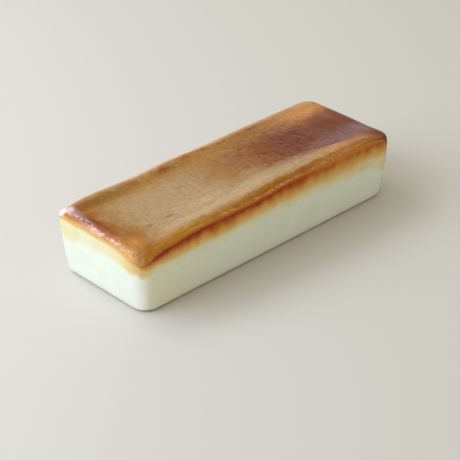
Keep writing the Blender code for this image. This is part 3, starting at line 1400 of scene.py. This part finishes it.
@dataclass(frozen=True)
class Zone:
    """A band of the rim on one side, with its colours along that side, in mm."""

    side: Mask
    starts: Range
    ends: Range
    stops: tuple[Stop, ...]
    ragged: float = 0.15
    lean: float = 0.0

    def over(self, nodes: Nodes, place: RimPlace, colour: Socket) -> Socket:
        """Colour with the zone laid over it.

        Args:
            nodes: The material's nodes.
            place: What places the zone.
            colour: The colour under it.

        Returns:
            The colour.
        """
        at = nodes.moved(place.rim, place.wander, self.ragged)
        at = nodes.moved(at, place.leaning, self.lean)
        share = nodes.product(nodes.mask(self.side), nodes.between(at, self.starts, self.ends))
        axis = 1 if self.side in (Mask.NEAR, Mask.FAR) else 0
        return nodes.mix(share, colour, nodes.ramp(place.axes[axis], self.stops))


@dataclass(frozen=True)
class CrumbsAndGlints:
    """Crumbs and painted glints of the front's torn lip: how strongly they show, and their colour."""

    share: float
    colour: Colour

    def over(self, nodes: Nodes, place: Socket, colour: Socket) -> Socket:
        """Colour with the crumbs laid over it."""
        crumbs_and_glints = nodes.group(EffectGroups.lip_crumbs(), place=place, rim=nodes.mask(Mask.RIM_SHARE))
        return nodes.mix(nodes.product(crumbs_and_glints, nodes.mask(Mask.FRONT), self.share), colour, self.colour)


@dataclass(frozen=True)
class Surface:
    """Fine surface of a finish: clouds and specks in its colour, and its grain, in mm."""

    cloud_span: float
    cloud: float
    speck_span: float
    speck: float
    roughness: Range
    bump_depth: float
    bump_strength: float
    specular: float
    grain_span: float = 0.9

    def dress(
        self, nodes: Nodes, shader: bpy.types.Node, colour: Socket, clouds: Socket, place: Socket
    ) -> None:
        """Give a shader its colour, roughness and normal.

        Args:
            nodes: The material's nodes.
            shader: The material's Principled shader.
            colour: The finish's colour.
            clouds: Place that the clouds and specks are read at, in mm.
            place: Place in mm.
        """
        mottled = nodes.group(
            EffectGroups.mottle(),
            colour=colour,
            place=clouds,
            cloud_span=self.cloud_span,
            speck_span=self.speck_span,
            cloud=self.cloud,
            speck=self.speck,
        )
        grain = nodes.group(EffectGroups.grain(), place=place, span=self.grain_span)
        nodes.put(shader.inputs["Base Color"], mottled)
        nodes.put(shader.inputs["Roughness"], nodes.ranged(grain, *self.roughness))
        nodes.put(shader.inputs["Normal"], nodes.bump(grain, self.bump_depth, self.bump_strength))
        shader.inputs["Specular IOR Level"].default_value = self.specular


def new_material(name: str) -> tuple[bpy.types.Material, Nodes, bpy.types.Node]:
    """Material with only its shader and output.

    Args:
        name: The material's name.

    Returns:
        The material, a Nodes for its tree, and its Principled shader.
    """
    material = bpy.data.materials.new(name)
    material.use_nodes = True
    shader = material.node_tree.nodes["Principled BSDF"]
    return material, Nodes(material.node_tree), shader


@dataclass(frozen=True)
class CurdFinish:
    """Moist pale curd of the walls and the underside, stained below the skin."""

    stain_colours: tuple[Stop, ...] = (
        (0.0, Tone.CURD), (0.15, Tone.IVORY), (0.30, Tone.STRAW), (0.45, Tone.HONEY),
        (0.60, Tone.TOFFEE), (0.75, Tone.RUST), (0.90, Tone.COPPER), (1.0, Tone.BRICK),
    )
    streak: float = 0.11
    streak_span: float = 2.2
    streak_stretch: tuple[float, float, float] = (1.0, 1.0, 0.7)
    # pale crumbs with painted glints along the front's lip
    crumbs_and_glints: CrumbsAndGlints = CrumbsAndGlints(0.72, srgb(220, 164, 108))
    # painted contact shade: the wall darker and warmer toward its foot
    foot_shade_heights: Range = (0.0, 6.5)
    foot_shade_share: float = 0.8
    foot_shade_colour: Colour = srgb(222, 220, 205)
    stained: Range = (0.0, 0.3)
    shaded_along: Range = (-92.0, -30.0)
    shaded_share: float = 0.8
    shaded_colour: Colour = srgb(229, 227, 196)
    # painted light: the near front corner paler, as if lit further round
    painted_light_corner: Patch = Patch((-93.5, -30), (5.5, 6), srgb(250, 251, 243), 0.6, 0.1)
    surface: Surface = Surface(9.0, 0.05, 1.4, 0.05, (0.36, 0.50), 0.05, 0.5, 0.16)

    def material(self) -> bpy.types.Material:
        """Build the finish.

        Returns:
            The material.
        """
        material, nodes, shader = new_material("moist_curd")
        place = nodes.place_mm()
        axes = nodes.parts(place)
        bake = nodes.mask(Mask.BAKE)
        streaks = nodes.stretched(place, self.streak_stretch)
        streaks = nodes.noise(streaks, self.streak_span, detail=3.0)
        level = nodes.moved(bake, nodes.swing(streaks, self.streak), bake)
        colour = nodes.ramp(level, self.stain_colours)
        colour = self.crumbs_and_glints.over(nodes, place, colour)
        # painted contact shade at the wall's foot
        foot = nodes.rest(nodes.step(axes[2], *self.foot_shade_heights))
        colour = nodes.mix(nodes.product(foot, self.foot_shade_share), colour, self.foot_shade_colour)
        bare = nodes.rest(nodes.step(bake, *self.stained))
        near_part = nodes.rest(nodes.step(axes[0], *self.shaded_along))
        facing = nodes.product(nodes.rest(nodes.mask(Mask.NEAR)), nodes.mask(Mask.FRONT))
        shaded = nodes.product(near_part, facing, bare, self.shaded_share)
        colour = nodes.mix(shaded, colour, self.shaded_colour)
        # painted light round the near front corner, on bare curd only
        corner_light = nodes.product(self.painted_light_corner.share(nodes, nodes.stretched(place, FLAT)), bare)
        colour = nodes.mix(corner_light, colour, self.painted_light_corner.colour)
        self.surface.dress(nodes, shader, colour, place, place)
        return material


@dataclass(frozen=True)
class GlossyHighlightStreaks:
    """Streaks that follow the near end's ridge, in mm and rim share: a glossy coat, and a painted highlight
    in the colour.
    """

    starts: Range = (0.60, 0.90)
    ends: Range = (0.98, 1.32)
    lean: float = 0.40
    lean_across: Range = (0.0, 14.0)
    corner_lean: float = 0.22
    corner_across: Range = (-28.0, -16.0)
    gap_at: float = -4.5
    gap: Range = (0.3, 3.0)
    span: float = 1.1
    stretch: tuple[float, float, float] = (1.0, 0.5, 1.0)
    streaked: Range = (0.38, 0.64)
    strength: float = 0.85

    def share(self, nodes: Nodes, place: Socket, across: Socket, rim: Socket) -> Socket:
        """Streaks in a material.

        Args:
            nodes: The material's nodes.
            place: Place in mm.
            across: Place across the bar, in mm.
            rim: The rim share.

        Returns:
            The streaks, from 0 to 1.
        """
        at = nodes.moved(rim, nodes.rest(nodes.step(across, *self.lean_across)), self.lean)
        at = nodes.moved(at, nodes.rest(nodes.step(across, *self.corner_across)), self.corner_lean)
        on_ridge = nodes.product(nodes.between(at, self.starts, self.ends), nodes.mask(Mask.NEAR))
        from_gap = nodes.value("ABSOLUTE", nodes.value("SUBTRACT", across, self.gap_at))
        streaks = nodes.noise(nodes.stretched(place, self.stretch), self.span)
        streaks = nodes.product(nodes.step(streaks, *self.streaked), self.strength)
        return nodes.product(on_ridge, nodes.step(from_gap, *self.gap), streaks)


@dataclass(frozen=True)
class BakedSkinFinish:
    """Glossy browned skin of the top, darker toward the far end."""

    lengthwise: tuple[Stop, ...] = (
        (-97, Tone.AMBER), (-60, Tone.TAUPE), (-30, Tone.TAUPE), (0, Tone.AMBER),
        (30, Tone.RUSSET), (45, Tone.UMBER), (97, Tone.UMBER),
    )
    zones: tuple[Zone, ...] = (
        Zone(Mask.BACK, starts=(1.0, 1.3), ends=(1.5, 3.0), ragged=0.45, stops=(
            (-90, Tone.CHESTNUT), (-70, Tone.CARAMEL), (0, Tone.CARAMEL), (45, Tone.AMBER),
            (75, Tone.GOLD),
        )),
        # painted highlight: a pale line along the back crest
        Zone(Mask.BACK, starts=(-1.0, -0.9), ends=(0.80, 1.10), ragged=0.08, lean=-0.15, stops=(
            (-90, Tone.BISCUIT), (-30, Tone.BLUSH), (5, Tone.BLUSH), (30, Tone.BISCUIT),
        )),
        # painted sheen: the front rim's inner slope paler where it faces the light
        Zone(Mask.FRONT, starts=(0.85, 1.15), ends=(1.7, 2.5), ragged=0.35, lean=0.26, stops=(
            (-90, Tone.CARAMEL), (-50, Tone.SAND), (10, Tone.TAUPE), (45, Tone.COCOA),
            (75, Tone.GOLD), (92, Tone.MAHOGANY),
        )),
        # painted highlight along the front crest
        Zone(Mask.FRONT, starts=(0.78, 1.12), ends=(1.20, 1.65), ragged=0.2, lean=0.25, stops=(
            (-90, Tone.AMBER), (-55, Tone.SAND), (30, Tone.SAND), (60, Tone.BISCUIT),
            (80, Tone.RUSSET), (92, Tone.UMBER),
        )),
        Zone(Mask.FRONT, starts=(-1.0, -0.9), ends=(0.50, 1.20), lean=0.12, stops=(
            (-90, Tone.CHESTNUT), (-60, Tone.OCHRE), (-5, Tone.CHESTNUT), (30, Tone.CHESTNUT),
            (60, Tone.GINGER), (92, Tone.MAHOGANY),
        )),
        Zone(Mask.FRONT, starts=(-1.0, -0.9), ends=(0.05, 0.38), ragged=0.05, stops=(
            (-90, Tone.GINGER), (-65, Tone.GOLD), (0, Tone.AMBER), (40, Tone.AMBER),
            (60, Tone.GOLD), (92, Tone.MAHOGANY),
        )),
        Zone(Mask.NEAR, starts=(1.0, 1.3), ends=(1.8, 2.5), ragged=0.45, stops=(
            (-30, Tone.CARAMEL), (0, Tone.CHESTNUT), (12, Tone.RUSSET), (30, Tone.AMBER),
        )),
        # the near ridge's crest, with painted lilac sheen toward the back corner
        Zone(Mask.NEAR, starts=(0.4, 0.8), ends=(1.1, 1.5), ragged=0.4, stops=(
            (-30, Tone.GINGER), (-18, Tone.GOLD), (0, Tone.MAUVE), (15, Tone.MAUVE),
            (30, Tone.LILAC),
        )),
        # the near ridge's outer face, with painted highlight in its paler peach and blush stops
        Zone(Mask.NEAR, starts=(-1.0, -0.9), ends=(0.45, 1.0), ragged=0.3, stops=(
            (-30, Tone.GOLD), (-20, Tone.PEACH), (-10, Tone.GINGER), (5, Tone.BLUSH),
            (20, Tone.GINGER),
        )),
        Zone(Mask.NEAR, starts=(-1.0, -0.9), ends=(0.0, 0.45), ragged=0.2, stops=(
            (-30, Tone.PEACH), (5, Tone.BLUSH), (30, Tone.PEACH),
        )),
    )
    patches: tuple[Patch, ...] = (
        # painted sheen: the front of the dish paler, this patch and the next
        Patch((-36, -12), (60, 20), srgb(174, 144, 104), 0.6, 0.3, 14.0),
        Patch((-29, -14), (20, 6), srgb(190, 162, 124), 0.45),
        Patch((9, -9), (14, 8), srgb(176, 140, 102), 0.5),
        Patch((83, 32), (42, 28), srgb(186, 124, 58), 0.95, 0.35, 9.0),
        Patch((34, 4), (15, 9), srgb(120, 56, 4), 0.5, 0.5, 5.0),
        Patch((52, 18), (22, 8), srgb(160, 106, 62), 0.35, 0.4, 5.0),
        # painted sheen: purple-grey reflection on the far front of the dish, this patch and the next
        Patch((57, -13), (17, 8), srgb(150, 102, 88), 0.5, 0.4, 5.0),
        Patch((80, -15), (32, 12), srgb(127, 91, 93), 0.85, 0.3, 7.0),
        Patch((-80, 24), (10, 5), srgb(142, 86, 26), 0.45, 0.5, 4.0),
        Patch((43, 23), (9, 5), srgb(132, 72, 26), 0.5, 0.5, 4.0),
        Patch((12, 30), (9, 4), srgb(132, 68, 18), 0.6, 0.5, 4.0),
        Patch((-70, -12), (4, 2.4), srgb(136, 88, 32), 0.8, 0.5, 3.0),
        Patch((-56.5, -12), (6, 2.4), srgb(140, 94, 42), 0.7, 0.5, 3.0),
        Patch((-30.5, 8.5), (5, 2.2), srgb(142, 98, 48), 0.6, 0.5, 3.0),
    )
    rim_spots: tuple[Patch, ...] = (
        Patch((-25.5, 28.8), (6.5, 3.4), srgb(138, 62, 10), 0.9, 0.5, 2.5),
        Patch((-7.5, 30), (6, 2.6), srgb(150, 78, 26), 0.8, 0.5, 2.5),
        Patch((-48, 29.5), (7, 2.6), srgb(148, 80, 28), 0.5, 0.5, 2.5),
        Patch((-68, 29.8), (8, 2.4), srgb(150, 84, 30), 0.25, 0.5, 2.5),
        # from here on: painted sheen and highlights on the near ridge (purple, lilac and rose), and a
        # near-white spot at its back corner
        Patch((-92.4, 16.5), (2.8, 9.0), srgb(118, 82, 92), 0.8, 0.6, 2.0),
        Patch((-89.6, 21.0), (3.4, 4.4), srgb(176, 130, 118), 0.75, 0.4, 2.5),
        Patch((-89.0, 27.0), (4.5, 7.5), srgb(188, 144, 138), 0.7, 0.4, 3.0),
        Patch((-94.6, 34.0), (5.6, 5.0), srgb(246, 236, 230), 1.0, 0.3, 3.0),
        Patch((-91.0, 31.0), (4.6, 3.8), srgb(232, 214, 214), 0.85, 0.4, 2.5),
    )
    lean_along: Range = (-5.0, 20.0)
    corner_along: Range = (-86.0, -60.0)
    corner_lean: float = 0.5
    warp: float = 8.0
    wander_span: float = 8.0
    fine_wander: float = 0.3
    fine_wander_span: float = 2.2
    layered_rim: Range = (0.5, 1.1)
    layer_stretch: tuple[float, float, float] = (0.22, 1.0, 1.0)
    layer_span: float = 1.8
    layer_swing: float = 0.35
    # pale crumbs with painted glints along the front's lip
    crumbs_and_glints: CrumbsAndGlints = CrumbsAndGlints(0.70, srgb(214, 158, 108))
    highlight_streaks: GlossyHighlightStreaks = GlossyHighlightStreaks()
    # painted highlight: how strongly the streaks lighten the colour, and in which tones
    painted_highlight_share: float = 0.70
    painted_highlight_colours: tuple[Stop, ...] = (
        (-30, Tone.PEACH), (-20, Tone.WET_CREAM), (0, Tone.WET_ROSE), (15, Tone.WET_GREY),
        (30, Tone.WET_ROSE),
    )
    # darker crust and painted shade at the bottom of each wrinkle
    crease_dark: float = 0.85
    crease_colour: Colour = srgb(86, 36, 14)
    surface: Surface = Surface(5.0, 0.20, 2.2, 0.30, (0.30, 0.50), 0.10, 0.7, 0.06)
    film: float = 0.40
    film_from: Range = (1.15, 1.6)
    coat_roughness: float = 0.22

    def browned(self, nodes: Nodes, flat: Socket, rim: Socket) -> Socket:
        """Colour of the skin before its fine marks.

        Args:
            nodes: The material's nodes.
            flat: Place in the plan, in mm.
            rim: The rim share.

        Returns:
            The colour.
        """
        axes = nodes.parts(flat)
        wander = nodes.swing(nodes.noise(flat, self.wander_span, detail=3.0), 2.0)
        fine = nodes.swing(nodes.noise(flat, self.fine_wander_span), 2 * self.fine_wander)
        colour = nodes.ramp(nodes.moved(axes[0], wander, self.warp), self.lengthwise)
        for patch in self.patches:
            colour = patch.over(nodes, flat, colour)
        near_corner = nodes.rest(nodes.step(axes[0], *self.corner_along))
        leaning = nodes.moved(nodes.step(axes[0], *self.lean_along), near_corner, -self.corner_lean)
        place = RimPlace(axes, rim, nodes.value("ADD", wander, fine), leaning)
        for zone in self.zones:
            colour = zone.over(nodes, place, colour)
        for spot in self.rim_spots:
            colour = spot.over(nodes, flat, colour)
        return colour

    def material(self) -> bpy.types.Material:
        """Build the finish.

        Returns:
            The material.
        """
        material, nodes, shader = new_material("baked_skin")
        place, rim, front = nodes.place_mm(), nodes.mask(Mask.RIM_SHARE), nodes.mask(Mask.FRONT)
        flat = nodes.stretched(place, FLAT)
        colour = self.browned(nodes, flat, rim)
        shoulder = nodes.product(nodes.rest(nodes.step(rim, *self.layered_rim)), front)
        layers = nodes.stretched(place, self.layer_stretch)
        layers = nodes.noise(layers, self.layer_span, detail=3.0)
        layers = nodes.swing(layers, 2 * self.layer_swing)
        colour = nodes.scaled(colour, nodes.moved(1.0, layers, shoulder))
        colour = self.crumbs_and_glints.over(nodes, place, colour)
        across = nodes.parts(flat)[1]
        # painted highlight: the streaks lighten the colour, and also give the coat its weight
        highlight_streaks = self.highlight_streaks.share(nodes, place, across, rim)
        highlight_colour = nodes.ramp(across, self.painted_highlight_colours)
        colour = nodes.mix(nodes.product(highlight_streaks, self.painted_highlight_share), colour, highlight_colour)
        # darker crust and painted shade at the bottom of each wrinkle
        crease = nodes.product(nodes.mask(Mask.CREASE), self.crease_dark)
        colour = nodes.mix(crease, colour, self.crease_colour)
        self.surface.dress(nodes, shader, colour, flat, place)
        dry_front = nodes.product(nodes.rest(nodes.step(rim, *self.film_from)), front)
        dry = nodes.value("MAXIMUM", dry_front, nodes.mask(Mask.NEAR))
        film = nodes.product(nodes.rest(dry), self.film)
        nodes.put(shader.inputs["Coat Weight"], nodes.value("MAXIMUM", highlight_streaks, film))
        shader.inputs["Coat Roughness"].default_value = self.coat_roughness
        return material


@dataclass(frozen=True)
class FloorFinish:
    """Plain pale floor."""

    colour: Colour = (0.60, 0.57, 0.52, 1.0)
    roughness: float = 0.7

    def material(self) -> bpy.types.Material:
        """Build the finish.

        Returns:
            The material.
        """
        material, _, shader = new_material("pale_floor")
        shader.inputs["Base Color"].default_value = self.colour
        shader.inputs["Roughness"].default_value = self.roughness
        return material


# ---------------------------------------------------------------- studio


@dataclass(frozen=True)
class SoftLight:
    """Large soft lamp that faces the bar from a direction, in degrees and metres."""

    name: str
    heading: float
    elevation: float
    distance: float
    width: float
    height: float
    watts: float
    colour: tuple[float, float, float]
    aim_height: float = 0.03

    def build(self) -> bpy.types.Object:
        """Add the lamp, turned to the middle of the scene.

        Returns:
            The lamp's object.
        """
        lamp = bpy.data.lights.new(self.name, "AREA")
        lamp.shape = "RECTANGLE"
        lamp.size, lamp.size_y = self.width, self.height
        lamp.energy = self.watts
        lamp.color = self.colour
        placed = bpy.data.objects.new(self.name, lamp)
        toward = direction(self.heading, self.elevation)
        placed.location = toward * self.distance + Vector((0, 0, self.aim_height))
        placed.rotation_mode = "QUATERNION"
        placed.rotation_quaternion = toward.to_track_quat("Z", "Y")
        bpy.context.scene.collection.objects.link(placed)
        return placed


@dataclass
class Studio:
    """Floor, lights and camera round the bar, in metres and degrees."""

    lights: tuple[SoftLight, ...] = (
        SoftLight("window_side", 151.0, 35.0, 0.95, 0.9, 0.7, 9.2, (0.72, 0.82, 1.0)),
        SoftLight("window_top", 100.0, 50.0, 1.0, 0.42, 0.42, 2.6, (0.84, 0.88, 1.0)),
        SoftLight("back_sheen", 54.0, 13.0, 1.3, 1.3, 0.35, 0.7, (0.86, 0.93, 1.0)),
    )
    ambient: Colour = (0.62, 0.595, 0.50, 1.0)
    floor_reach: float = 3.0
    floor_below: float = 0.2 * MM
    camera_place: tuple[float, float, float] = (-0.652409, -0.733078, 0.595645)
    camera_heading: float = 48.395
    camera_down: float = 31.256
    camera_roll: float = -1.870
    camera_lens: float = 156.6
    camera_sensor: float = 36.0
    camera_sees: Range = (0.05, 20.0)

    def floor(self) -> bpy.types.Object:
        """Add a wide floor just under the bar.

        Returns:
            The floor's object.
        """
        mesh = bpy.data.meshes.new("floor")
        reach = self.floor_reach
        corners = [(-reach, -reach, 0.0), (reach, -reach, 0.0), (reach, reach, 0.0), (-reach, reach, 0.0)]
        mesh.from_pydata(corners, [], [(0, 1, 2, 3)])
        mesh.materials.append(FloorFinish().material())
        floor = bpy.data.objects.new("floor", mesh)
        floor.location.z = -self.floor_below
        bpy.context.scene.collection.objects.link(floor)
        return floor

    def camera(self) -> bpy.types.Object:
        """Add the camera at the photograph's viewing angle.

        Returns:
            The camera's object.
        """
        lens = bpy.data.cameras.new("camera")
        lens.lens = self.camera_lens
        lens.sensor_width = self.camera_sensor
        lens.clip_start, lens.clip_end = self.camera_sees
        camera = bpy.data.objects.new("camera", lens)
        ahead = direction(self.camera_heading, -self.camera_down)
        right = ahead.cross(Vector((0, 0, 1))).normalized()
        up = right.cross(ahead)
        roll = math.radians(self.camera_roll)
        turned_right = math.cos(roll) * right + math.sin(roll) * up
        turned_up = -math.sin(roll) * right + math.cos(roll) * up
        axes = Matrix((turned_right, turned_up, -ahead)).transposed().to_4x4()
        camera.matrix_world = Matrix.Translation(self.camera_place) @ axes
        bpy.context.scene.collection.objects.link(camera)
        bpy.context.scene.camera = camera
        return camera

    def build(self) -> None:
        """Add everything, with a soft even world light."""
        world = bpy.data.worlds.new("studio")
        world.use_nodes = True
        background = world.node_tree.nodes["Background"]
        background.inputs["Color"].default_value = self.ambient
        background.inputs["Strength"].default_value = 1.0
        bpy.context.scene.world = world
        self.floor()
        for light in self.lights:
            light.build()
        self.camera()
        bpy.context.scene.view_settings.view_transform = "Standard"


def main() -> None:
    """Build the bar and the studio, and log the bar's faces and points."""
    logging.basicConfig(level=logging.INFO, format="%(name)s: %(message)s")
    maker = CheesecakeBar()
    bar = maker.build()
    maker.dress(bar)
    LOG.info("%s: %d faces, %d points", bar.name, len(bar.data.polygons), len(bar.data.vertices))
    Studio().build()


if __name__ == "__main__":
    main()
